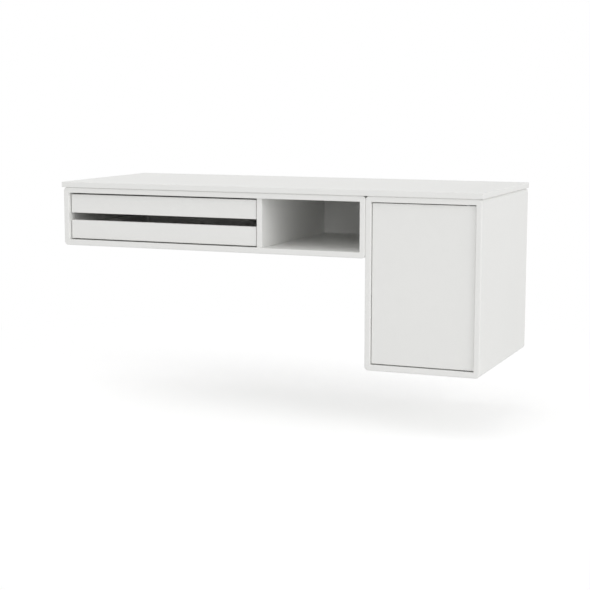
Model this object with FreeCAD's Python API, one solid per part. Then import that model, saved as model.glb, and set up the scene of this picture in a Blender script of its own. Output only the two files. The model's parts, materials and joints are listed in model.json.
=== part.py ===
import FreeCAD, Part
import math
import os

# Floating wall desk, in millimetres. The wall is the plane y = 0, the front looks towards -y, +x is to
# the right as seen from the front and +z is up. The origin lies on the wall, in the middle of the screw
# line of the long module's wall rail.

# Long module with the drawers and the open shelf, and the door cabinet at its right end
DEPTH = 380.0  # from the wall to the front edge of the carcass
LONG_WIDTH = 696.0
LONG_HEIGHT = 126.0
CABINET_WIDTH = 240.0
CABINET_HEIGHT = 354.0
SHELF_BAY_WIDTH = 216.0  # clear width of the open shelf
PANEL = 12.0  # thickness of the carcass boards and the divider
CORNER_RADIUS = 8.0  # outer corners of a module, seen from the front
EDGE_ROUND = 1.5  # front edges around a module's opening and on the divider
OUTER_EDGE_ROUND = 2.5  # outer front edges of a module
BACK_PANEL = 8.0  # thickness of the back panels
BACK_GROOVE = 5.0  # depth of the groove that holds a back panel

# Loose tongues in the mitred corners
SPLINE_WIDTH = 8.0
SPLINE_THICKNESS = 3.0
SPLINE_SETBACK = 7.5  # from the inner corner of the mitre to the middle of the tongue
SPLINE_STOP = 20.0  # from the front edge and from the back panel

# Desk top that lies over both modules
TOP_THICKNESS = 12.0
TOP_OVERHANG = 3.0  # past the modules at the front and at both ends
TOP_WALL_GAP = 3.0  # between the wall and the rear edge
TOP_EDGE_ROUND = 1.5
TOP_SCREW_INSET = 60.0  # from the modules' sides, the wall and the front
TOP_SCREW_RADIUS = 2.0
TOP_SCREW_HEAD_RADIUS = 4.0
TOP_SCREW_BITE = 8.0  # depth in the desk top

# Drawer fronts, door and divider, set back from the carcass front edge
DRAWER_SETBACK = 8.5
FRONT_SETBACK = 6.0  # of the door and the divider
FRONT_THICKNESS = 12.0
FRONT_EDGE_ROUND = 1.0
DRAWER_TOP_GAP = 3.5  # above the upper drawer front
DRAWER_BOTTOM_GAP = 2.5  # below the lower drawer front
DRAWER_SIDE_GAP = 2.0  # at both ends of the drawer fronts
FINGER_GAP = 16.0  # between the two drawer fronts
DOOR_GAP = 2.0  # above and below the door
DOOR_SIDE_GAP = 1.2

# Drawer boxes
BOX_REAR_GAP = 27.0  # between the box and the back panel
BOX_BOARD = 10.0  # thickness of the sides and the back
BOX_HEIGHT = 28.0
BOX_CLEARANCE = 6.0  # from the carcass top to the upper box, and from its bottom to the lower box
BOTTOM_THICKNESS = 4.0
BOTTOM_LIFT = 4.0  # from the lower edge of the sides to the bottom
BOTTOM_GROOVE = 5.0  # depth of the groove that holds the bottom

# Dowels of the divider and the drawer boxes
DOWEL_RADIUS = 3.0
DOWEL_LENGTH = 20.0
DOWEL_IN_FACE = 8.0  # depth in the face of a carcass board or a drawer front
DOWEL_IN_SIDE = 6.0  # depth in the face of a drawer side
DIVIDER_DOWEL_INSET = 40.0  # from the divider's front and rear edges

# Ball runners, one on each side of a drawer
RUNNER_START = 2.0  # from the back of the drawer front
RUNNER_REAR_GAP = 15.5  # from the rear of the drawer box
RUNNER_THICKNESS = 10.0  # gap between the bay wall and the drawer side
RUNNER_STEEL = 1.0
CHANNEL_HEIGHT = 17.0
CHANNEL_REACH = 7.0  # how far the channel stands out of the bay wall
CHANNEL_LIP = 0.6
RAIL_HEIGHT = 9.0
RUNNER_OVERLAP = 90.0  # length of rail that stays in the channel when the drawer is fully out
CAGE_THICKNESS = 0.8
CAGE_GAP = 0.5  # from the cage to the channel's web and to the rail's edges
CAGE_END_GAP = 2.0  # from the cage to the ends of channel and rail when the drawer is fully out
CAGE_RIM = 0.6  # outside the ball pockets
BALL_CLEARANCE = 0.05
BALL_COUNT = 6  # in each row of a cage
RUNNER_SCREW_INSET = 30.0  # from both ends of a runner

# Small countersunk screws of the runners, the hook rails and the latch
SCREW_RADIUS = 1.5
SCREW_HEAD_RADIUS = 3.0
SCREW_BITE = 6.0  # depth in the board
CROSS_LENGTH = 0.6  # of the head radius, from the middle to the end of an arm of the cross recess
CROSS_WIDTH = 0.15  # of the head radius, half the width of an arm
CROSS_DEPTH = 0.4  # of the head radius

# Two-part screws that join the modules
CONNECTOR_INSET = 60.0  # from the wall and from the front edge
CONNECTOR_HEAD_RADIUS = 6.5
CONNECTOR_HEAD = 1.5  # thickness of the flat heads
SLEEVE_RADIUS = 4.0
CONNECTOR_RADIUS = 3.0
SLEEVE_SHORT = 3.0  # by which the sleeve is shorter than the two boards
CONNECTOR_SHORT = 4.0  # by which the screw is shorter than the two boards
HEX_RADIUS = 2.0  # hexagon sockets, across corners
HEX_DEPTH = 1.0

# Wall rails and hook rails, Z-shaped steel strips in the recess behind the back panels
RAIL_STEEL = 2.0
RAIL_SLOT = 3.0  # between the wall and the upper leg of a wall rail
RAIL_TOP_GAP = 4.0  # between a hook rail and the carcass top above it
WALL_LEG = 12.0  # from the screw line to the lower edge and to the step of a wall rail
HOOK_LEG = 18.0  # height of the wall rail's upper leg
HOOK_GRIP = 14.0  # how far a hook rail reaches down behind a wall rail
HOOK_PLATE = 24.0  # height of the hook rail's upper leg
LONG_RAIL_GAP = 36.0  # from the sides of the long module to the ends of its rails
CABINET_RAIL_GAP = 18.0  # the same in the cabinet
WALL_HOLE_INSET = 30.0  # from the ends of a wall rail to its outer holes
WALL_HOLE_RADIUS = 2.75
HOOK_SCREW_INSET = 20.0  # from the ends of a hook rail
LONG_HOOK_SCREWS = 6
CABINET_HOOK_SCREWS = 3

# Door pivots
PIVOT_INSET = 18.0  # from the door's hinge edge to the axis
PIN_RADIUS = 3.0
PIN_IN_DOOR = 20.0
PIN_IN_BUSH = 7.0
PIVOT_CLEARANCE = 0.05
BUSH_WALL = 1.5
BUSH_FLANGE = 1.0  # thickness
BUSH_FLANGE_RADIUS = 6.5
BUSH_END_GAP = 1.0  # between the end of the pin and the bottom of its hole

# Push-to-open latch under the cabinet top, at the free edge of the door
LATCH_INSET = 24.0  # from the cabinet's left side to the plunger's axis
LATCH_DROP = 12.0  # from the cabinet top to the plunger's axis
LATCH_WIDTH = 16.0
LATCH_FRONT_WALL = 4.0
LATCH_REAR_WALL = 3.0
LATCH_SHELL = 2.0  # wall around the spring
LATCH_BORE = 5.0  # radius of the hollow for the spring
LATCH_HOLLOW = 30.0  # its length
LATCH_EAR = 10.0  # width of the two screw ears
LATCH_EAR_THICKNESS = 2.5
LATCH_EAR_LENGTH = 20.0
LATCH_STROKE = 3.0
LATCH_STROKE_GAP = 0.5  # left between the tip and the housing at full stroke
LATCH_CLEARANCE = 0.2  # between the tip and the strike plate
TIP_RADIUS = 5.0
TIP_LENGTH = 4.0
PLUNGER_RADIUS = 3.5
PLUNGER_CLEARANCE = 0.05
COLLAR_CLEARANCE = 0.3
COLLAR_LENGTH = 3.0
SPRING_WIRE = 0.4  # radius
SPRING_CLEARANCE = 0.5  # from the hollow
SPRING_TURNS = 8
STRIKE_RADIUS = 6.0
STRIKE_THICKNESS = 2.0

# Places that follow from the sizes above
V = FreeCAD.Vector
CARCASS_TOP = WALL_LEG + HOOK_LEG + HOOK_PLATE + RAIL_TOP_GAP + PANEL
FRONT_EDGE = -DEPTH
LONG_LEFT = -LONG_WIDTH / 2
LONG_RIGHT = LONG_WIDTH / 2
CABINET_RIGHT = LONG_RIGHT + CABINET_WIDTH
LONG_MIDDLE = (LONG_LEFT + LONG_RIGHT) / 2
CABINET_MIDDLE = (LONG_RIGHT + CABINET_RIGHT) / 2
LONG_MIDDLE_HEIGHT = CARCASS_TOP - LONG_HEIGHT / 2
CONNECTOR_ROW = (FRONT_EDGE + CONNECTOR_INSET, -CONNECTOR_INSET)
LONG_RAIL_LENGTH = LONG_WIDTH - 2 * (PANEL + LONG_RAIL_GAP)
CABINET_RAIL_LENGTH = CABINET_WIDTH - 2 * (PANEL + CABINET_RAIL_GAP)
LONG_OUTER_HOLES = LONG_RAIL_LENGTH - 2 * WALL_HOLE_INSET
LONG_INNER_HOLES = LONG_OUTER_HOLES / 3
CABINET_HOLES = CABINET_RAIL_LENGTH - 2 * WALL_HOLE_INSET
CEILING = CARCASS_TOP - PANEL
LONG_FLOOR = CARCASS_TOP - LONG_HEIGHT + PANEL
CABINET_FLOOR = CARCASS_TOP - CABINET_HEIGHT + PANEL
RECESS = 2 * RAIL_STEEL + RAIL_SLOT
BACK_FACE = -(RECESS + BACK_PANEL)
FRONT_FACE = FRONT_EDGE + FRONT_SETBACK
FRONT_REAR = FRONT_FACE + FRONT_THICKNESS
DRAWER_FACE = FRONT_EDGE + DRAWER_SETBACK
DRAWER_REAR = DRAWER_FACE + FRONT_THICKNESS
DIVIDER_RIGHT = LONG_RIGHT - PANEL - SHELF_BAY_WIDTH
DIVIDER_LEFT = DIVIDER_RIGHT - PANEL
BAY_LEFT = LONG_LEFT + PANEL
BAY_RIGHT = DIVIDER_LEFT
FRONT_HEIGHT = (CEILING - LONG_FLOOR - DRAWER_TOP_GAP - FINGER_GAP - DRAWER_BOTTOM_GAP) / 2
BOX_REAR = BACK_FACE - BOX_REAR_GAP
RUNNER_FRONT = DRAWER_REAR + RUNNER_START
RUNNER_REAR = BOX_REAR - RUNNER_REAR_GAP
DRAWER_TRAVEL = RUNNER_REAR - RUNNER_FRONT - RUNNER_OVERLAP
DOOR_LEFT = LONG_RIGHT + PANEL + DOOR_SIDE_GAP
DOOR_RIGHT = CABINET_RIGHT - PANEL - DOOR_SIDE_GAP
DOOR_LOW = CABINET_FLOOR + DOOR_GAP
DOOR_HIGH = CEILING - DOOR_GAP
PIVOT_X = DOOR_RIGHT - PIVOT_INSET
PIVOT_Y = (FRONT_FACE + FRONT_REAR) / 2
UP = V(0, 0, 1)
DOWN = V(0, 0, -1)
BACK = V(0, 1, 0)
FORWARD = V(0, -1, 0)
RIGHT = V(1, 0, 0)
LEFT = V(-1, 0, 0)


def box(x, y, z):
    """Block between the low and high values of each axis."""
    return Part.makeBox(x[1] - x[0], y[1] - y[0], z[1] - z[0], V(x[0], y[0], z[0]))


def prism(corners, along):
    """Straight bar with the given outline."""
    return Part.Face(Part.makePolygon(corners + corners[:1])).extrude(along)


def rounded(solid, radius, chosen=lambda edge: True):
    """Solid with the chosen edges rounded."""
    return solid.makeFillet(radius, [edge for edge in solid.Edges if chosen(edge)])


def let_in(board, fittings):
    """Board with the seats of the fittings that reach into it."""
    near = [fitting for fitting in fittings if fitting.BoundBox.intersect(board.BoundBox)]
    return board.cut(near) if near else board


def let_in_all(boards, fittings):
    """All boards with the seats of the fittings that reach into them."""
    return {name: let_in(board, fittings) for name, board in boards.items()}


def polygon_hole(centre, outline, direction, depth):
    """Recess with a flat outline, sunk from the centre in the given direction."""
    turn = FreeCAD.Rotation(UP, direction)
    return prism([centre + turn.multVec(V(a, b, 0)) for a, b in outline], direction * depth)


def cross_recess(seat, direction, head_radius):
    """Cross recess in the flat head of a screw."""
    reach = CROSS_LENGTH * head_radius
    half = CROSS_WIDTH * head_radius
    arm = [(half, half), (half, reach), (-half, reach)]
    outline = []
    for turn in range(4):
        sine = math.sin(math.pi / 2 * turn)
        cosine = math.cos(math.pi / 2 * turn)
        for a, b in arm:
            outline.append((a * cosine - b * sine, a * sine + b * cosine))
    return polygon_hole(seat, outline, direction, CROSS_DEPTH * head_radius)


def hexagon_recess(seat, direction):
    """Hexagon socket in the flat head of a connector."""
    angles = [math.pi / 3 * corner for corner in range(6)]
    outline = [(HEX_RADIUS * math.cos(angle), HEX_RADIUS * math.sin(angle)) for angle in angles]
    return polygon_hole(seat, outline, direction, HEX_DEPTH)


def screw_blank(seat, direction, length, radius, head_radius):
    """Countersunk screw, whose head is flush at the seat, without its recess."""
    head_depth = head_radius - radius
    tip = 2 * radius
    head = Part.makeCone(head_radius, radius, head_depth, seat, direction)
    shank_start = seat + direction * head_depth
    shank = Part.makeCylinder(radius, length - head_depth - tip, shank_start, direction)
    point = Part.makeCone(radius, 0, tip, seat + direction * (length - tip), direction)
    return head.fuse([shank, point]).removeSplitter()


class Screws:
    """Group of equal countersunk screws."""

    def __init__(self, radius, head_radius):
        self.radius = radius
        self.head_radius = head_radius
        self.blanks = []
        self.solids = []

    def add(self, seat, direction, length):
        blank = screw_blank(seat, direction, length, self.radius, self.head_radius)
        self.blanks.append(blank)
        self.solids.append(blank.cut(cross_recess(seat, direction, self.head_radius)))


def spread(low, high, count):
    """Evenly spaced values from low to high."""
    return [low + (high - low) * step / (count - 1) for step in range(count)]


def module_frame(prefix, left, right, low):
    """Four mitred boards of a module, with rounded outer corners and front edges."""
    high = CARCASS_TOP
    depth = (FRONT_EDGE, 0)
    outer = box((left, right), depth, (low, high))
    outer = rounded(outer, CORNER_RADIUS, lambda edge: abs(edge.tangentAt(edge.FirstParameter).y) > 0.5)
    behind_front = FRONT_EDGE + OUTER_EDGE_ROUND / 2
    outer = rounded(outer, OUTER_EDGE_ROUND, lambda edge: edge.BoundBox.YMax < behind_front)
    inner_left, inner_right = left + PANEL, right - PANEL
    inner_low, inner_high = low + PANEL, high - PANEL
    sides = {
        "top": ((left, right), (inner_high, high), [(left, high), (right, high), (inner_right, inner_high),
                                                    (inner_left, inner_high)]),
        "bottom": ((left, right), (low, inner_low), [(left, low), (right, low), (inner_right, inner_low),
                                                     (inner_left, inner_low)]),
        "left": ((left, inner_left), (low, high), [(left, low), (left, high), (inner_left, inner_high),
                                                   (inner_left, inner_low)]),
        "right": ((inner_right, right), (low, high), [(right, low), (right, high), (inner_right, inner_high),
                                                      (inner_right, inner_low)]),
    }
    boards = {}
    for side, (x, z, outline) in sides.items():
        board = box(x, depth, z)
        inner_x = {"left": inner_left, "right": inner_right}.get(side)
        inner_z = {"top": inner_high, "bottom": inner_low}.get(side)
        board = rounded(board, EDGE_ROUND, lambda edge: is_inner_front(edge, inner_x, inner_z))
        mitred = prism([V(px, FRONT_EDGE, pz) for px, pz in outline], BACK * DEPTH)
        boards[f"{prefix}_{side}_panel"] = board.common(mitred).common(outer)
    return boards


def is_inner_front(edge, inner_x, inner_z):
    """Whether an edge is the inner front edge of a carcass board."""
    near = 0.001
    if edge.BoundBox.YMax > FRONT_EDGE + near:
        return False
    middle = edge.BoundBox.Center
    if inner_x is not None:
        return abs(middle.x - inner_x) < near
    return abs(middle.z - inner_z) < near


def mitre_splines(left, right, low):
    """Tongues across the four mitres of a module."""
    splines = []
    diagonal = 1 / math.sqrt(2)
    start = FRONT_EDGE + SPLINE_STOP
    end = BACK_FACE - SPLINE_STOP
    for side, inner_x in ((-1, left + PANEL), (1, right - PANEL)):
        for level, inner_z in ((-1, low + PANEL), (1, CEILING)):
            out = V(side * diagonal, 0, level * diagonal)
            across = V(side * diagonal, 0, -level * diagonal)
            middle = V(inner_x, start, inner_z) + out * SPLINE_SETBACK
            corners = []
            for a, b in ((-1, -1), (1, -1), (1, 1), (-1, 1)):
                corners.append(middle + across * (a * SPLINE_WIDTH / 2) + out * (b * SPLINE_THICKNESS / 2))
            splines.append(prism(corners, BACK * (end - start)))
    return splines


def back_panel(left, right, floor):
    """Back panel of a module, with its edges in the groove."""
    x = (left + PANEL - BACK_GROOVE, right - PANEL + BACK_GROOVE)
    return box(x, (BACK_FACE, -RECESS), (floor - BACK_GROOVE, CEILING + BACK_GROOVE))


def divider():
    """Upright between the drawers and the shelf, with its two upright front edges rounded."""
    board = box((DIVIDER_LEFT, DIVIDER_RIGHT), (FRONT_FACE, BACK_FACE), (LONG_FLOOR, CEILING))
    upright = [edge for edge in board.Edges if abs(edge.tangentAt(edge.FirstParameter).z) > 0.5]
    return board.makeFillet(EDGE_ROUND, [edge for edge in upright if edge.BoundBox.YMax < PIVOT_Y])


def divider_dowels():
    """Dowels that hold the divider to the top and bottom of the long module."""
    x = (DIVIDER_LEFT + DIVIDER_RIGHT) / 2
    dowels = []
    for y in (FRONT_FACE + DIVIDER_DOWEL_INSET, BACK_FACE - DIVIDER_DOWEL_INSET):
        dowels.append(dowel(V(x, y, CEILING + DOWEL_IN_FACE), DOWN))
        dowels.append(dowel(V(x, y, LONG_FLOOR - DOWEL_IN_FACE), UP))
    return dowels


def dowel(end, direction):
    """Wooden dowel from one of its ends."""
    return Part.makeCylinder(DOWEL_RADIUS, DOWEL_LENGTH, end, direction)


def desk_top():
    """Board over both modules."""
    x = (LONG_LEFT - TOP_OVERHANG, CABINET_RIGHT + TOP_OVERHANG)
    y = (FRONT_EDGE - TOP_OVERHANG, -TOP_WALL_GAP)
    board = box(x, y, (CARCASS_TOP, CARCASS_TOP + TOP_THICKNESS))
    return rounded(board, TOP_EDGE_ROUND)


def desk_top_screws():
    """Screws that hold the desk top, driven up through the tops of the modules."""
    screws = Screws(TOP_SCREW_RADIUS, TOP_SCREW_HEAD_RADIUS)
    for left, right in ((LONG_LEFT, LONG_RIGHT), (LONG_RIGHT, CABINET_RIGHT)):
        for x in (left + TOP_SCREW_INSET, right - TOP_SCREW_INSET):
            for y in (FRONT_EDGE + TOP_SCREW_INSET, -TOP_SCREW_INSET):
                screws.add(V(x, y, CEILING), UP, PANEL + TOP_SCREW_BITE)
    return screws


def connectors():
    """Sleeves from the shelf and screws from the cabinet that clamp the two modules together."""
    sleeves = []
    screws = []
    for y in CONNECTOR_ROW:
        seat = V(LONG_RIGHT - PANEL, y, LONG_MIDDLE_HEIGHT)
        outside = seat + LEFT * CONNECTOR_HEAD
        head = Part.makeCylinder(CONNECTOR_HEAD_RADIUS, CONNECTOR_HEAD, outside, RIGHT)
        barrel = Part.makeCylinder(SLEEVE_RADIUS, 2 * PANEL - SLEEVE_SHORT, seat, RIGHT)
        bore = Part.makeCylinder(CONNECTOR_RADIUS, 2 * PANEL, seat, RIGHT)
        sleeves.append(head.fuse(barrel).removeSplitter().cut([bore, hexagon_recess(outside, RIGHT)]))
        seat = V(LONG_RIGHT + PANEL, y, LONG_MIDDLE_HEIGHT)
        outside = seat + RIGHT * CONNECTOR_HEAD
        head = Part.makeCylinder(CONNECTOR_HEAD_RADIUS, CONNECTOR_HEAD, outside, LEFT)
        shank = Part.makeCylinder(CONNECTOR_RADIUS, 2 * PANEL - CONNECTOR_SHORT, seat, LEFT)
        screws.append(head.fuse(shank).removeSplitter().cut(hexagon_recess(outside, LEFT)))
    return sleeves, screws


def connector_holes():
    """Holes for the connectors through the two sides that meet."""
    starts = [V(LONG_RIGHT - PANEL, y, LONG_MIDDLE_HEIGHT) for y in CONNECTOR_ROW]
    return [Part.makeCylinder(SLEEVE_RADIUS, 2 * PANEL, start, RIGHT) for start in starts]


def wall_rail(middle_x, length, hole_spacings):
    """Z-shaped strip on the wall: a leg with the wall screws' holes, and an upper leg off the wall."""
    x = middle_x - length / 2
    step = WALL_LEG
    slot = -RAIL_SLOT
    front = -(RAIL_SLOT + RAIL_STEEL)
    top = step + HOOK_LEG
    outline = [(0, -WALL_LEG), (0, step), (slot, step), (slot, top), (front, top), (front, step - RAIL_STEEL),
               (-RAIL_STEEL, step - RAIL_STEEL), (-RAIL_STEEL, -WALL_LEG)]
    strip = prism([V(x, y, z) for y, z in outline], RIGHT * length)
    holes = []
    for spacing in hole_spacings:
        for side in (-1, 1):
            start = V(middle_x + side * spacing / 2, -RAIL_STEEL, 0)
            holes.append(Part.makeCylinder(WALL_HOLE_RADIUS, RAIL_STEEL, start, BACK))
    return strip.cut(holes)


def hook_rail(middle_x, length):
    """Z-shaped strip on the back of a module, which rests on the wall rail's upper leg."""
    x = middle_x - length / 2
    rest = WALL_LEG + HOOK_LEG
    inner = -RAIL_SLOT
    wall_side = inner + RAIL_STEEL
    outline = [(inner, rest), (inner, rest - HOOK_GRIP), (wall_side, rest - HOOK_GRIP),
               (wall_side, rest + RAIL_STEEL), (-RECESS + RAIL_STEEL, rest + RAIL_STEEL),
               (-RECESS + RAIL_STEEL, rest + HOOK_PLATE), (-RECESS, rest + HOOK_PLATE), (-RECESS, rest)]
    return prism([V(x, y, z) for y, z in outline], RIGHT * length)


def add_hook_screws(screws, middle_x, length, count):
    """Row of screws that hold a hook rail to a back panel."""
    z = WALL_LEG + HOOK_LEG + (RAIL_STEEL + HOOK_PLATE) / 2
    reach = length / 2 - HOOK_SCREW_INSET
    for x in spread(middle_x - reach, middle_x + reach, count):
        screws.add(V(x, -RECESS + RAIL_STEEL, z), FORWARD, RAIL_STEEL + SCREW_BITE)


def drawer_box(front_low, box_low):
    """Boards of one drawer and the dowels that join them."""
    left = BAY_LEFT + RUNNER_THICKNESS
    right = BAY_RIGHT - RUNNER_THICKNESS
    height = (box_low, box_low + BOX_HEIGHT)
    front_x = (BAY_LEFT + DRAWER_SIDE_GAP, BAY_RIGHT - DRAWER_SIDE_GAP)
    front = box(front_x, (DRAWER_FACE, DRAWER_REAR), (front_low, front_low + FRONT_HEIGHT))
    boards = {
        "front": rounded(front, FRONT_EDGE_ROUND),
        "left_side": box((left, left + BOX_BOARD), (DRAWER_REAR, BOX_REAR), height),
        "right_side": box((right - BOX_BOARD, right), (DRAWER_REAR, BOX_REAR), height),
        "back": box((left + BOX_BOARD, right - BOX_BOARD), (BOX_REAR - BOX_BOARD, BOX_REAR), height),
    }
    bottom_low = box_low + BOTTOM_LIFT
    bottom_high = bottom_low + BOTTOM_THICKNESS
    bottom_x = (left + BOX_BOARD - BOTTOM_GROOVE, right - BOX_BOARD + BOTTOM_GROOVE)
    bottom_y = (DRAWER_REAR - BOTTOM_GROOVE, BOX_REAR - BOX_BOARD + BOTTOM_GROOVE)
    bottom = box(bottom_x, bottom_y, (bottom_low, bottom_high))
    dowels = []
    room = height[1] - bottom_high
    for z in (bottom_high + room / 4, height[1] - room / 4):
        for x, inward in ((left + BOX_BOARD / 2, RIGHT), (right - BOX_BOARD / 2, LEFT)):
            dowels.append(dowel(V(x, DRAWER_REAR - DOWEL_IN_FACE, z), BACK))
            inner_face = V(x, BOX_REAR - BOX_BOARD / 2, z) + inward * (BOX_BOARD / 2)
            dowels.append(dowel(inner_face - inward * DOWEL_IN_SIDE, inward))
    boards = let_in_all(boards, dowels + [bottom])
    boards["bottom"] = bottom
    return boards, dowels


class Runner:
    """Ball runner between a bay wall and a drawer side: channel, rail, cage and balls."""

    def __init__(self, wall_x, inward, middle_z):
        self.wall_x = wall_x
        self.inward = inward
        self.middle_z = middle_z
        self.half = CHANNEL_HEIGHT / 2
        self.race = self.half - RUNNER_STEEL
        self.rail_half = RAIL_HEIGHT / 2
        self.cage_web = RUNNER_STEEL + CAGE_GAP
        self.rail_edge = self.cage_web + CAGE_THICKNESS + CAGE_GAP
        self.ball_level = (self.race + self.rail_half) / 2
        self.ball_radius = (self.race - self.rail_half) / 2 - BALL_CLEARANCE
        self.ball_offset = (self.rail_edge + CHANNEL_REACH - RUNNER_STEEL) / 2
        self.pocket_radius = self.ball_radius + 2 * BALL_CLEARANCE

    def point(self, offset, y, level):
        return V(self.wall_x + self.inward * offset, y, self.middle_z + level)

    def strip(self, half_outline, y):
        """Bar whose outline is mirrored about the runner's middle height."""
        upper = [self.point(offset, y[0], level) for offset, level in half_outline]
        lower = [self.point(offset, y[0], -level) for offset, level in reversed(half_outline)]
        return prism(upper + lower, BACK * (y[1] - y[0]))

    def channel(self):
        lip = CHANNEL_REACH - RUNNER_STEEL
        outline = [(0, self.half), (CHANNEL_REACH, self.half), (CHANNEL_REACH, self.race - CHANNEL_LIP),
                   (lip, self.race - CHANNEL_LIP), (lip, self.race), (RUNNER_STEEL, self.race)]
        return self.strip(outline, (RUNNER_FRONT, RUNNER_REAR))

    def rail(self):
        web = RUNNER_THICKNESS - RUNNER_STEEL
        inner = self.rail_half - RUNNER_STEEL
        outline = [(RUNNER_THICKNESS, self.rail_half), (self.rail_edge, self.rail_half),
                   (self.rail_edge, inner), (web, inner)]
        return self.strip(outline, (RUNNER_FRONT, RUNNER_REAR))

    def cage_range(self):
        first = RUNNER_FRONT + DRAWER_TRAVEL / 2 + CAGE_END_GAP
        return first, RUNNER_REAR - DRAWER_TRAVEL / 2 - CAGE_END_GAP

    def ball_places(self):
        first, last = self.cage_range()
        inset = 2 * self.pocket_radius
        rows = (-self.ball_level, self.ball_level)
        return [self.point(self.ball_offset, y, level) for level in rows
                for y in spread(first + inset, last - inset, BALL_COUNT)]

    def cage(self):
        inner_web = self.cage_web + CAGE_THICKNESS
        arm_end = self.ball_offset + self.pocket_radius + CAGE_RIM
        outer = self.ball_level + CAGE_THICKNESS / 2
        inner = self.ball_level - CAGE_THICKNESS / 2
        outline = [(self.cage_web, outer), (arm_end, outer), (arm_end, inner), (inner_web, inner)]
        strip = self.strip(outline, self.cage_range())
        pockets = []
        for place in self.ball_places():
            foot = place + DOWN * CAGE_THICKNESS
            pockets.append(Part.makeCylinder(self.pocket_radius, 2 * CAGE_THICKNESS, foot, UP))
        return strip.cut(pockets)

    def balls(self):
        return [Part.makeSphere(self.ball_radius, place) for place in self.ball_places()]

    def add_screws(self, channel_screws, rail_screws):
        outward = LEFT * self.inward
        length = RUNNER_STEEL + SCREW_BITE
        for y in (RUNNER_FRONT + RUNNER_SCREW_INSET, RUNNER_REAR - RUNNER_SCREW_INSET):
            channel_screws.add(self.point(RUNNER_STEEL, y, 0), outward, length)
            rail_screws.add(self.point(RUNNER_THICKNESS - RUNNER_STEEL, y, 0), outward * -1, length)


def drawer(prefix, front_low, box_low, channel_screws):
    """One drawer with its runners, as nodes that move, as nodes that stay and as cages."""
    boards, dowels = drawer_box(front_low, box_low)
    rail_screws = Screws(SCREW_RADIUS, SCREW_HEAD_RADIUS)
    nodes = {}
    balls = []
    for side, wall_x, inward in (("left", BAY_LEFT, 1), ("right", BAY_RIGHT, -1)):
        runner = Runner(wall_x, inward, box_low + BOX_HEIGHT / 2)
        runner.add_screws(channel_screws, rail_screws)
        nodes[f"{prefix}_{side}_channel"] = let_in(runner.channel(), channel_screws.blanks)
        nodes[f"{prefix}_{side}_rail"] = let_in(runner.rail(), rail_screws.blanks)
        nodes[f"{prefix}_{side}_cage"] = runner.cage()
        balls += runner.balls()
    for name, board in let_in_all(boards, rail_screws.blanks).items():
        nodes[f"{prefix}_drawer_{name}"] = board
    nodes[f"{prefix}_drawer_dowels"] = Part.makeCompound(dowels)
    nodes[f"{prefix}_rail_screws"] = Part.makeCompound(rail_screws.solids)
    nodes[f"{prefix}_balls"] = Part.makeCompound(balls)
    return nodes


def pivot(face_z, door_z, out):
    """Pin in a door edge and its flanged bush in the carcass, with the hole for the bush."""
    direction = UP * out
    foot = V(PIVOT_X, PIVOT_Y, door_z) - direction * PIN_IN_DOOR
    pin = Part.makeCylinder(PIN_RADIUS, PIN_IN_DOOR + DOOR_GAP + PIN_IN_BUSH, foot, direction)
    face = V(PIVOT_X, PIVOT_Y, face_z)
    depth = PIN_IN_BUSH + BUSH_END_GAP
    hole = Part.makeCylinder(PIN_RADIUS + PIVOT_CLEARANCE + BUSH_WALL, depth, face, direction)
    flange_start = face - direction * BUSH_FLANGE
    flange = Part.makeCylinder(BUSH_FLANGE_RADIUS, BUSH_FLANGE, flange_start, direction)
    bore = Part.makeCylinder(PIN_RADIUS + PIVOT_CLEARANCE, BUSH_FLANGE + depth, flange_start, direction)
    return pin, hole.fuse(flange).removeSplitter().cut(bore), hole


def pivot_washer():
    """Washer between the lower bush and the door."""
    foot = V(PIVOT_X, PIVOT_Y, CABINET_FLOOR + BUSH_FLANGE)
    disc = Part.makeCylinder(BUSH_FLANGE_RADIUS, DOOR_GAP - BUSH_FLANGE, foot)
    return disc.cut(Part.makeCylinder(PIN_RADIUS + PIVOT_CLEARANCE, DOOR_GAP - BUSH_FLANGE, foot))


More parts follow.
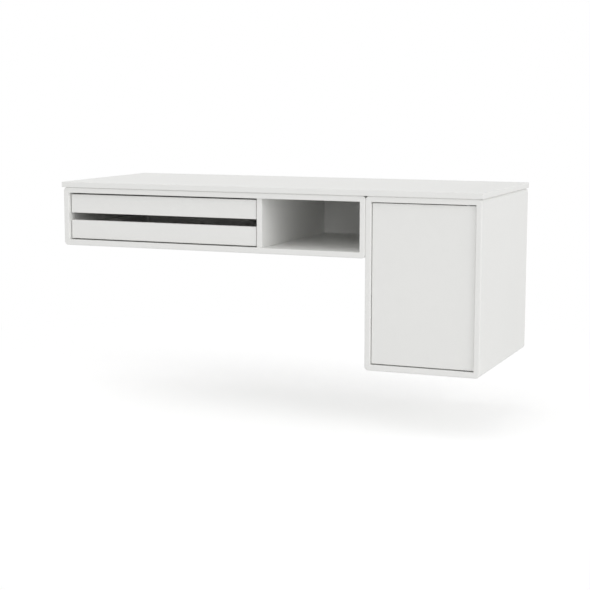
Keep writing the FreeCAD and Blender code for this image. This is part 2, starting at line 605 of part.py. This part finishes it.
def latch():
    """Push-to-open latch: housing, plunger, spring, screws and the strike plate in the door."""
    axis_x = LONG_RIGHT + PANEL + LATCH_INSET
    axis_z = CEILING - LATCH_DROP
    tip_front = FRONT_REAR + LATCH_CLEARANCE
    tip_rear = tip_front + TIP_LENGTH
    housing_front = tip_rear + LATCH_STROKE + LATCH_STROKE_GAP
    hollow_front = housing_front + LATCH_FRONT_WALL
    hollow_rear = hollow_front + LATCH_HOLLOW
    housing_rear = hollow_rear + LATCH_REAR_WALL

    def rod(radius, start, end):
        return Part.makeCylinder(radius, end - start, V(axis_x, start, axis_z), BACK)

    x = (axis_x - LATCH_WIDTH / 2, axis_x + LATCH_WIDTH / 2)
    body = box(x, (housing_front, housing_rear), (axis_z - LATCH_BORE - LATCH_SHELL, CEILING))
    middle = (housing_front + housing_rear) / 2
    ear_y = (middle - LATCH_EAR_LENGTH / 2, middle + LATCH_EAR_LENGTH / 2)
    ears = box((x[0] - LATCH_EAR, x[1] + LATCH_EAR), ear_y, (CEILING - LATCH_EAR_THICKNESS, CEILING))
    screws = Screws(SCREW_RADIUS, SCREW_HEAD_RADIUS)
    for ear_x in (x[0] - LATCH_EAR / 2, x[1] + LATCH_EAR / 2):
        screws.add(V(ear_x, middle, CEILING - LATCH_EAR_THICKNESS), UP, LATCH_EAR_THICKNESS + SCREW_BITE)
    guide = rod(PLUNGER_RADIUS + PLUNGER_CLEARANCE, housing_front, hollow_front)
    hollow = rod(LATCH_BORE, hollow_front, hollow_rear)
    housing = body.fuse(ears).removeSplitter().cut([guide, hollow] + screws.blanks)

    collar_rear = hollow_front + COLLAR_LENGTH
    tip = rod(TIP_RADIUS, tip_front, tip_rear)
    shaft = rod(PLUNGER_RADIUS, tip_rear, collar_rear)
    collar = rod(LATCH_BORE - COLLAR_CLEARANCE, hollow_front, collar_rear)
    plunger = tip.fuse([shaft, collar]).removeSplitter()

    strike = rod(STRIKE_RADIUS, FRONT_REAR - STRIKE_THICKNESS, FRONT_REAR)
    return housing, plunger, latch_spring(axis_x, axis_z, collar_rear, hollow_rear), screws, strike


def tangent_arc(start, heading, end):
    """Arc that leaves the start in the given heading and reaches the end."""
    chord = end - start
    straight = V(chord).normalize()
    aside = (heading - straight * heading.dot(straight)).normalize()
    rise = chord.Length / 2 * math.tan(heading.getAngle(chord) / 2)
    return Part.Arc(start, start + chord / 2 + aside * rise, end).toShape()


def biarc(start, start_heading, end, end_heading):
    """Two arcs that meet smoothly, from one point and heading to another."""
    span = end - start
    both = start_heading + end_heading
    turn = 2 - 2 * start_heading.dot(end_heading)
    reach = (math.sqrt(span.dot(both) ** 2 + turn * span.dot(span)) - span.dot(both)) / turn
    before = start + start_heading * reach
    after = end - end_heading * reach
    meeting = (before + after) / 2
    return [tangent_arc(start, start_heading, meeting),
            tangent_arc(meeting, (after - before).normalize(), end)]


def latch_spring(axis_x, axis_z, start, end):
    """Coil spring between the plunger's collar and the end of the housing's hollow."""
    radius = LATCH_BORE - SPRING_CLEARANCE - SPRING_WIRE
    first = start + SPRING_WIRE
    climb = (end - SPRING_WIRE - first) / (2 * math.pi * SPRING_TURNS)
    stations = []
    for step in range(4 * SPRING_TURNS + 1):
        angle = math.pi / 2 * step
        place = V(axis_x + radius * math.cos(angle), first + climb * angle, axis_z + radius * math.sin(angle))
        heading = V(-radius * math.sin(angle), climb, radius * math.cos(angle)).normalize()
        stations.append((place, heading))
    edges = []
    for here, there in zip(stations, stations[1:]):
        edges += biarc(*here, *there)
    section = Part.Wire(Part.makeCircle(SPRING_WIRE, *stations[0]))
    return Part.Wire(edges).makePipeShell([section], True, False)


def door(pins, strike):
    """Door board with the holes of its pins and the seat of the strike plate."""
    board = box((DOOR_LEFT, DOOR_RIGHT), (FRONT_FACE, FRONT_REAR), (DOOR_LOW, DOOR_HIGH))
    return let_in(rounded(board, FRONT_EDGE_ROUND), pins + [strike])


def export(nodes):
    """One file for each node."""
    os.makedirs("parts", exist_ok=True)
    for name, shape in nodes.items():
        if len(shape.Solids) == 1:
            shape = shape.Solids[0]
        shape.exportStep(f"parts/{name}.step")
        print(name, "solids", len(shape.Solids), "valid", shape.isValid(), "volume", round(shape.Volume, 2))


def build():
    """All nodes of the desk."""
    nodes = {}
    boards = module_frame("long", LONG_LEFT, LONG_RIGHT, LONG_FLOOR - PANEL)
    boards.update(module_frame("cabinet", LONG_RIGHT, CABINET_RIGHT, CABINET_FLOOR - PANEL))
    backs = {
        "long_back_panel": back_panel(LONG_LEFT, LONG_RIGHT, LONG_FLOOR),
        "cabinet_back_panel": back_panel(LONG_RIGHT, CABINET_RIGHT, CABINET_FLOOR),
    }
    boards["divider"] = divider()
    boards["desk_top"] = desk_top()

    splines = mitre_splines(LONG_LEFT, LONG_RIGHT, LONG_FLOOR - PANEL)
    splines += mitre_splines(LONG_RIGHT, CABINET_RIGHT, CABINET_FLOOR - PANEL)
    dowels = divider_dowels()
    top_screws = desk_top_screws()
    sleeves, connecting_screws = connectors()
    nodes["mitre_splines"] = Part.makeCompound(splines)
    nodes["divider_dowels"] = Part.makeCompound(dowels)
    nodes["desk_top_screws"] = Part.makeCompound(top_screws.solids)
    nodes["connector_sleeves"] = Part.makeCompound(sleeves)
    nodes["connector_screws"] = Part.makeCompound(connecting_screws)

    hook_screws = Screws(SCREW_RADIUS, SCREW_HEAD_RADIUS)
    add_hook_screws(hook_screws, LONG_MIDDLE, LONG_RAIL_LENGTH, LONG_HOOK_SCREWS)
    add_hook_screws(hook_screws, CABINET_MIDDLE, CABINET_RAIL_LENGTH, CABINET_HOOK_SCREWS)
    nodes["long_wall_rail"] = wall_rail(LONG_MIDDLE, LONG_RAIL_LENGTH, (LONG_OUTER_HOLES, LONG_INNER_HOLES))
    nodes["cabinet_wall_rail"] = wall_rail(CABINET_MIDDLE, CABINET_RAIL_LENGTH, (CABINET_HOLES,))
    nodes["long_hook_rail"] = let_in(hook_rail(LONG_MIDDLE, LONG_RAIL_LENGTH), hook_screws.blanks)
    nodes["cabinet_hook_rail"] = let_in(hook_rail(CABINET_MIDDLE, CABINET_RAIL_LENGTH), hook_screws.blanks)
    nodes["hook_rail_screws"] = Part.makeCompound(hook_screws.solids)

    channel_screws = Screws(SCREW_RADIUS, SCREW_HEAD_RADIUS)
    upper_front = CEILING - DRAWER_TOP_GAP - FRONT_HEIGHT
    nodes.update(drawer("upper", upper_front, CEILING - BOX_CLEARANCE - BOX_HEIGHT, channel_screws))
    lower_front = LONG_FLOOR + DRAWER_BOTTOM_GAP
    nodes.update(drawer("lower", lower_front, LONG_FLOOR + BOX_CLEARANCE, channel_screws))
    nodes["channel_screws"] = Part.makeCompound(channel_screws.solids)

    upper_pin, upper_bush, upper_hole = pivot(CEILING, DOOR_HIGH, 1)
    lower_pin, lower_bush, lower_hole = pivot(CABINET_FLOOR, DOOR_LOW, -1)
    housing, plunger, spring, latch_screws, strike = latch()
    nodes["door_panel"] = door([upper_pin, lower_pin], strike)
    nodes["door_pivot_pins"] = Part.makeCompound([upper_pin, lower_pin])
    nodes["pivot_bushes"] = Part.makeCompound([upper_bush, lower_bush])
    nodes["pivot_washer"] = pivot_washer()
    nodes["latch_housing"] = housing
    nodes["latch_plunger"] = plunger
    nodes["latch_spring"] = spring
    nodes["latch_screws"] = Part.makeCompound(latch_screws.solids)
    nodes["latch_strike_plate"] = strike

    fittings = splines + dowels + top_screws.blanks + connector_holes() + channel_screws.blanks
    fittings += latch_screws.blanks + [upper_hole, lower_hole]
    nodes.update(let_in_all(boards, fittings + list(backs.values())))
    nodes.update(let_in_all(backs, hook_screws.blanks))
    return nodes


export(build())
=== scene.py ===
import json
import math

import bmesh
import bpy
from mathutils import Matrix, Vector


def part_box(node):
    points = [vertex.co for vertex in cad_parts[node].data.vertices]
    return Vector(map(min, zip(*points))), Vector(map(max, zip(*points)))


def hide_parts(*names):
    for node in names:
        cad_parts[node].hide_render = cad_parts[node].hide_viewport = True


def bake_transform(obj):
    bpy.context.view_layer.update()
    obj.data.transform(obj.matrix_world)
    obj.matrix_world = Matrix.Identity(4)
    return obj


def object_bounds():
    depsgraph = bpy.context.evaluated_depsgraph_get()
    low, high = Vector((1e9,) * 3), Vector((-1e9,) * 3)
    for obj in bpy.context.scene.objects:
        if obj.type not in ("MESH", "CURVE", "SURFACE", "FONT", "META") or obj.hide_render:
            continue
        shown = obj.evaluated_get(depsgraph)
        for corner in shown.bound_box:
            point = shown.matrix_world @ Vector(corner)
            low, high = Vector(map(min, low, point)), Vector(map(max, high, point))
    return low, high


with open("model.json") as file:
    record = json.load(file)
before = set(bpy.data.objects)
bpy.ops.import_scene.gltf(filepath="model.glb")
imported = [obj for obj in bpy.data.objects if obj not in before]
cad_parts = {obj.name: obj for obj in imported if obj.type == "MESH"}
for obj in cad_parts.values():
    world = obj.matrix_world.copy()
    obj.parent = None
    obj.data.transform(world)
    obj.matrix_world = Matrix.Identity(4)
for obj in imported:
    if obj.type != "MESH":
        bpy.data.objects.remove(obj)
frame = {"nodes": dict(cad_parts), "record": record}
CAD_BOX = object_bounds()
DESK_MIDDLE = (CAD_BOX[0] + CAD_BOX[1]) / 2

# Camera, in metres and degrees: to the right of the desk, a little above its top, looking slightly down
CAMERA_PLACE = Vector((1.3151, -3.1099, 0.2746))
CAMERA_TURN = 22.28
CAMERA_DIP = 7.956
CAMERA_ROLL = 0.065
CAMERA_LENS = 88.47  # in millimetres, on the sensor width below
SENSOR_WIDTH = 36.0

# Studio: a white floor under the desk, an even sky, a wide lamp overhead, a soft lamp from the right and a
# weak one in front that reaches into the shelf
WHITE = (1.0, 1.0, 1.0, 1.0)
FLOOR_DROP = 0.126  # from the lowest point of the desk to the floor
FLOOR_SIZE = 60.0
FLOOR_TONE = (0.92, 0.92, 0.92, 1.0)
FLOOR_GLOW = 0.213  # lifts the seen floor to white, so that only the desk's shadow shows
FADE_START = 0.75  # from the desk's middle, where the seen floor begins to turn plain white
FADE_END = 1.35
SKY_STRENGTH = 0.65
TOP_LAMP_PLACE = Vector((-0.72, -0.86, 2.59))
TOP_LAMP_WIDTH = 3.9
TOP_LAMP_POWER = 18.0
SIDE_LAMP_PLACE = Vector((7.73, -3.66, 2.92))
SIDE_LAMP_WIDTH = 5.5
SIDE_LAMP_POWER = 170.0
FRONT_LAMP_PLACE = Vector((2.88, -6.51, 1.0))
FRONT_LAMP_WIDTH = 1.6
FRONT_LAMP_POWER = 24.0

# Lacquer on the boards. Here and below, scales and stretches count a pattern's waves in a metre, and a
# relief is a depth in metres
LACQUER_TONE = (0.87, 0.87, 0.853)
LACQUER_SPECULAR = 0.14
SATIN_ROUGHNESS = 0.44
DRIFT_SCALE = 7.0
CLOUD_SCALE = 55.0
PEEL_SCALE = 420.0
MIST_SCALE = 2600.0
PEEL_RELIEF = 0.00003
MATT_ROUGHNESS = 0.58
FIBRE_STRETCH = (60.0, 420.0, 420.0)
ROLLER_SCALE = 330.0
ROLLER_RELIEF = 0.00005

# Beech of the dowels
BEECH_STOPS = ((0.3, (0.50, 0.31, 0.17)), (0.55, (0.66, 0.45, 0.27)), (0.75, (0.76, 0.56, 0.37)))
BEECH_ROUGHNESS = 0.55
GRAIN_STRETCH = (500.0, 40.0, 500.0)
FLECK_STRETCH = (2400.0, 320.0, 2400.0)
GRAIN_RELIEF = 0.00006

# Drawn lines on metal, and the grain that a mould leaves on plastic
LINE_RELIEF = 0.00001
MOULD_GRAIN_SCALE = 1800.0
MOULD_FLOW_SCALE = 120.0
MOULD_RELIEF = 0.00003

# Coil spring inside the latch, in metres
SPRING_WIRE = 0.0004  # radius
SPRING_TURNS = 8
TURN_STEPS = 24
WIRE_SIDES = 10


class Value:
    """Output socket in a node tree, which can be used like a number."""

    def __init__(self, tree, socket):
        self.tree = tree
        self.socket = socket

    def output(self, name):
        """Another output of the same node."""
        return Value(self.tree, self.socket.node.outputs[name])

    def __add__(self, other):
        return self.tree.math("ADD", self, other)

    def __radd__(self, other):
        return self.tree.math("ADD", other, self)

    def __mul__(self, other):
        return self.tree.math("MULTIPLY", self, other)

    def __rmul__(self, other):
        return self.tree.math("MULTIPLY", other, self)


class Tree:
    """Empty node tree of a material or of the sky."""

    def __init__(self, owner):
        owner.use_nodes = True
        self.owner = owner
        self.nodes = owner.node_tree.nodes
        self.links = owner.node_tree.links
        self.nodes.clear()

    def node(self, kind, settings=None, sockets=None):
        """New node with its settings, then the values or links of its sockets. Gives its first output."""
        node = self.nodes.new("ShaderNode" + kind)
        for name, value in (settings or {}).items():
            if name == "stops":
                set_stops(node.color_ramp, value)
            else:
                setattr(node, name, value)
        for key, value in (sockets or {}).items():
            self.fill(node, key, value)
        outputs = [socket for socket in node.outputs if socket.enabled]
        return Value(self, outputs[0]) if outputs else None

    def fill(self, node, key, value):
        """Link or value for one input, which is named or counted."""
        if isinstance(key, str):
            socket = next(item for item in node.inputs if item.name == key and item.enabled)
        else:
            socket = node.inputs[key]
        if isinstance(value, Value):
            self.links.new(value.socket, socket)
        else:
            socket.default_value = value

    def math(self, operation, first, second):
        return self.node("Math", {"operation": operation}, {0: first, 1: second})

    def place(self, stretch=(1.0, 1.0, 1.0)):
        """Position on the piece in metres, along each axis times the stretch."""
        position = self.node("TexCoord").output("Object")
        return self.node("Mapping", {}, {"Vector": position, "Scale": stretch})

    def noise(self, place, scale=1.0, detail=2.0):
        return self.node("TexNoise", {}, {"Vector": place, "Scale": scale, "Detail": detail})

    def tint(self, share, first, second):
        """Colour between two tones."""
        sockets = {"Factor": share, "A": (*first, 1.0), "B": (*second, 1.0)}
        return self.node("Mix", {"data_type": "RGBA"}, sockets)

    def bump(self, height, relief):
        """Surface relief from a height between 0 and 1."""
        return self.node("Bump", {}, {"Height": height, "Strength": 1.0, "Distance": relief})

    def surface(self, sockets):
        """Principled surface as the output of a material."""
        shader = self.node("BsdfPrincipled", {}, sockets)
        self.node("OutputMaterial", {}, {"Surface": shader})
        return self.owner


def set_stops(ramp, stops):
    """Positions and colours of a colour ramp."""
    while len(ramp.elements) < len(stops):
        ramp.elements.new(1.0)
    for element, (position, colour) in zip(ramp.elements, stops):
        element.position = position
        element.color = (*colour, 1.0)


def finish_tree(name):
    """Node tree of a new material."""
    return Tree(bpy.data.materials.new(name))


def shade(tone, factor):
    """Tone made darker or lighter."""
    return tuple(factor * part for part in tone)


def white_lacquer():
    """Sprayed satin lacquer: an even off-white with a faint drift of tone and fine orange peel."""
    tree = finish_tree("white_lacquer")
    place = tree.place()
    drift = tree.noise(place, DRIFT_SCALE, detail=3.0)
    cloud = tree.noise(place, CLOUD_SCALE)
    peel = tree.noise(place, PEEL_SCALE)
    mist = tree.noise(place, MIST_SCALE, detail=1.0)
    darker, lighter = shade(LACQUER_TONE, 0.985), shade(LACQUER_TONE, 1.015)
    return tree.surface({
        "Base Color": tree.tint(drift * 0.6 + cloud * 0.4, darker, lighter),
        "Roughness": SATIN_ROUGHNESS + 0.08 * cloud + 0.04 * mist,
        "Specular IOR Level": LACQUER_SPECULAR,
        "Normal": tree.bump(peel * 0.8 + mist * 0.2, PEEL_RELIEF),
    })


def drawer_board():
    """Matt lacquer rolled on board, with the fibres showing faintly."""
    tree = finish_tree("drawer_board")
    fibres = tree.noise(tree.place(FIBRE_STRETCH), detail=3.0)
    roller = tree.noise(tree.place(), ROLLER_SCALE)
    return tree.surface({
        "Base Color": tree.tint(fibres, shade(LACQUER_TONE, 0.965), shade(LACQUER_TONE, 1.02)),
        "Roughness": MATT_ROUGHNESS + 0.12 * roller,
        "Specular IOR Level": LACQUER_SPECULAR,
        "Normal": tree.bump(roller * 0.5 + fibres * 0.5, ROLLER_RELIEF),
    })


def beech():
    """Plain beech with growth bands and short dark flecks."""
    tree = finish_tree("beech")
    grain = tree.noise(tree.place(GRAIN_STRETCH), detail=4.0)
    fleck = tree.noise(tree.place(FLECK_STRETCH), detail=1.0)
    return tree.surface({
        "Base Color": tree.node("ValToRGB", {"stops": BEECH_STOPS}, {0: grain * 0.7 + fleck * 0.3}),
        "Roughness": BEECH_ROUGHNESS + 0.2 * fleck,
        "Normal": tree.bump(grain * 0.6 + fleck * 0.4, GRAIN_RELIEF),
    })


def metal(name, tone, roughness, patch_scale, line_stretch):
    """Plated steel with patches of slightly different shine and fine drawn lines."""
    tree = finish_tree(name)
    patches = tree.node("TexVoronoi", {}, {"Vector": tree.place(), "Scale": patch_scale, "Randomness": 1.0})
    patch = tree.node("SeparateColor", {}, {"Color": patches.output("Color")})
    lines = tree.noise(tree.place(line_stretch))
    return tree.surface({
        "Base Color": tree.tint(patch * 0.6 + lines * 0.4, shade(tone, 0.93), shade(tone, 1.04)),
        "Metallic": 1.0,
        "Roughness": roughness + 0.1 * patch + 0.08 * lines,
        "Normal": tree.bump(lines, LINE_RELIEF),
    })


def zinc_steel():
    return metal("zinc_steel", tone=(0.66, 0.67, 0.69), roughness=0.30, patch_scale=190.0,
                 line_stretch=(60.0, 2600.0, 2600.0))


def nickel():
    return metal("nickel", tone=(0.73, 0.70, 0.65), roughness=0.18, patch_scale=420.0,
                 line_stretch=(3200.0, 3200.0, 900.0))


def bright_steel():
    return metal("bright_steel", tone=(0.74, 0.74, 0.76), roughness=0.16, patch_scale=500.0,
                 line_stretch=(2600.0, 2600.0, 500.0))


def moulded(name, tone, roughness, speckle):
    """Moulded plastic with the fine sparked grain of its mould."""
    tree = finish_tree(name)
    place = tree.place()
    grain = tree.noise(place, MOULD_GRAIN_SCALE)
    flow = tree.noise(place, MOULD_FLOW_SCALE)
    darker, lighter = shade(tone, 1.0 - speckle), shade(tone, 1.0 + speckle)
    return tree.surface({
        "Base Color": tree.tint(flow * 0.5 + grain * 0.5, darker, lighter),
        "Roughness": roughness + 0.15 * grain,
        "Normal": tree.bump(grain, MOULD_RELIEF),
    })


def cage_plastic():
    return moulded("cage_plastic", tone=(0.035, 0.035, 0.037), roughness=0.42, speckle=0.15)


def nylon():
    return moulded("nylon", tone=(0.16, 0.16, 0.165), roughness=0.42, speckle=0.06)


def latch_plastic():
    return moulded("latch_plastic", tone=(0.56, 0.57, 0.57), roughness=0.40, speckle=0.04)


FINISHES = (white_lacquer, drawer_board, beech, zinc_steel, nickel, bright_steel, cage_plastic, nylon,
            latch_plastic)


def dress_nodes():
    """Finish of every piece, by the material slot that the record gives it."""
    finishes = {make.__name__: make() for make in FINISHES}
    for part in frame["record"]["subparts"]:
        piece = frame["nodes"][part["node"]]
        for slot in piece.material_slots:
            slot.material = finishes[part["material_slot"]]
    return finishes


def add_object(name, data):
    """New object in the scene."""
    piece = bpy.data.objects.new(name, data)
    bpy.context.scene.collection.objects.link(piece)
    return piece


def wire_ring(middle, out, across):
    """Points around the spring's wire at one place."""
    angles = [math.tau * side / WIRE_SIDES for side in range(WIRE_SIDES)]
    return [middle + SPRING_WIRE * (math.cos(angle) * out + math.sin(angle) * across) for angle in angles]


def coil_rings(low, high):
    """Rings of points along the coil, between the corners of the room that the spring has."""
    axis = (low + high) / 2
    radius = (high.x - low.x) / 2 - SPRING_WIRE
    start = low.y + SPRING_WIRE
    climb = (high.y - SPRING_WIRE - start) / SPRING_TURNS
    rings = []
    for step in range(SPRING_TURNS * TURN_STEPS + 1):
        angle = math.tau * step / TURN_STEPS
        out = Vector((math.cos(angle), 0.0, math.sin(angle)))
        along = Vector((-radius * out.z, climb / math.tau, radius * out.x)).normalized()
        middle = Vector((axis.x, start + climb * step / TURN_STEPS, axis.z)) + radius * out
        rings.append(wire_ring(middle, out, along.cross(out)))
    return rings


def coil_mesh(low, high):
    """Smooth wire of the coil with two flat ends."""
    form = bmesh.new()
    rings = [[form.verts.new(point) for point in ring] for ring in coil_rings(low, high)]
    for ring, following in zip(rings, rings[1:]):
        for side in range(WIRE_SIDES):
            wall = form.faces.new((ring[side - 1], ring[side], following[side], following[side - 1]))
            wall.smooth = True
    form.faces.new(rings[0])
    form.faces.new(rings[-1])
    bmesh.ops.recalc_face_normals(form, faces=form.faces)
    mesh = bpy.data.meshes.new("latch_coil")
    form.to_mesh(mesh)
    form.free()
    return mesh


def latch_coil(finish):
    """Coil spring of the latch, which on the real latch shortens as the plunger is pressed in; here a fixed
    coil in the room of the spring part, which it stands in for.
    """
    low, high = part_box("latch_spring")
    mesh = coil_mesh(low, high)
    mesh.materials.append(finish)
    piece = add_object("latch_coil", mesh)
    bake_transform(piece)
    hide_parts("latch_spring")


def sees_studio(tree):
    """1 for what the camera sees directly, in a mirror or through glass, and 0 for light on a surface."""
    path = tree.node("LightPath")
    seen = path.output("Is Camera Ray") + path.output("Is Glossy Ray") + path.output("Is Transmission Ray")
    return tree.math("MINIMUM", seen, 1.0)


def sky():
    """Even sky that is white where it is seen."""
    world = bpy.data.worlds.new("sky")
    bpy.context.scene.world = world
    tree = Tree(world)
    light = tree.node("Background", {}, {"Color": WHITE, "Strength": SKY_STRENGTH})
    backdrop = tree.node("Background", {}, {"Color": WHITE, "Strength": 1.0})
    mixed = tree.node("MixShader", {}, {0: sees_studio(tree), 1: light, 2: backdrop})
    tree.node("OutputWorld", {}, {"Surface": mixed})


def floor_finish(level):
    """White that keeps the shadow under the desk and is plain white further away."""
    tree = finish_tree("studio_floor")
    plain = tree.node("BsdfDiffuse", {}, {"Color": FLOOR_TONE})
    shadowed = tree.node("BsdfDiffuse", {}, {"Color": WHITE})
    glow = tree.node("Emission", {}, {"Color": WHITE, "Strength": FLOOR_GLOW})
    near = tree.node("AddShader", {}, {0: shadowed, 1: glow})
    far = tree.node("Emission", {}, {"Color": WHITE, "Strength": 1.0})
    under_desk = (DESK_MIDDLE.x, DESK_MIDDLE.y, level)
    offset = tree.node("VectorMath", {"operation": "SUBTRACT"}, {0: tree.place(), 1: under_desk})
    away = tree.node("VectorMath", {"operation": "LENGTH"}, {0: offset})
    fade = tree.node("MapRange", {"interpolation_type": "SMOOTHSTEP"},
                     {"Value": away, "From Min": FADE_START, "From Max": FADE_END})
    shown = tree.node("MixShader", {}, {0: fade, 1: near, 2: far})
    mixed = tree.node("MixShader", {}, {0: sees_studio(tree), 1: plain, 2: shown})
    tree.node("OutputMaterial", {}, {"Surface": mixed})
    return tree.owner


def floor():
    """Floor of the studio, below the hanging desk."""
    level = CAD_BOX[0].z - FLOOR_DROP
    half = FLOOR_SIZE / 2
    corners = [(-half, -half, level), (half, -half, level), (half, half, level), (-half, half, level)]
    mesh = bpy.data.meshes.new("studio_floor")
    mesh.from_pydata(corners, [], [(0, 1, 2, 3)])
    mesh.materials.append(floor_finish(level))
    piece = add_object("studio_floor", mesh)


def lamp(name, place, width, power, target):
    """Round soft lamp that faces the target."""
    light = bpy.data.lights.new(name, "AREA")
    light.shape = "DISK"
    light.size = width
    light.energy = power
    piece = add_object(name, light)
    piece.location = place
    piece.rotation_mode = "QUATERNION"
    piece.rotation_quaternion = (target - place).to_track_quat("-Z", "Y")
    piece.visible_camera = False


def camera():
    """Camera of the scene. Tilted by a right angle it would look level."""
    data = bpy.data.cameras.new("camera")
    data.sensor_width = SENSOR_WIDTH
    data.lens = CAMERA_LENS
    data.clip_end = 2 * FLOOR_SIZE
    piece = add_object("camera", data)
    turn = Matrix.Rotation(math.radians(CAMERA_TURN), 4, "Z")
    tilt = Matrix.Rotation(math.radians(90.0 - CAMERA_DIP), 4, "X")
    roll = Matrix.Rotation(math.radians(CAMERA_ROLL), 4, "Z")
    piece.matrix_world = Matrix.Translation(CAMERA_PLACE) @ turn @ tilt @ roll
    bpy.context.scene.camera = piece


finishes = dress_nodes()
latch_coil(finishes["bright_steel"])
sky()
floor()
below_top_lamp = Vector((TOP_LAMP_PLACE.x, TOP_LAMP_PLACE.y, CAD_BOX[0].z))
lamp("top_lamp", TOP_LAMP_PLACE, TOP_LAMP_WIDTH, TOP_LAMP_POWER, below_top_lamp)
lamp("side_lamp", SIDE_LAMP_PLACE, SIDE_LAMP_WIDTH, SIDE_LAMP_POWER, DESK_MIDDLE)
lamp("front_lamp", FRONT_LAMP_PLACE, FRONT_LAMP_WIDTH, FRONT_LAMP_POWER, DESK_MIDDLE)
camera()
bpy.context.scene.view_settings.view_transform = "Standard"
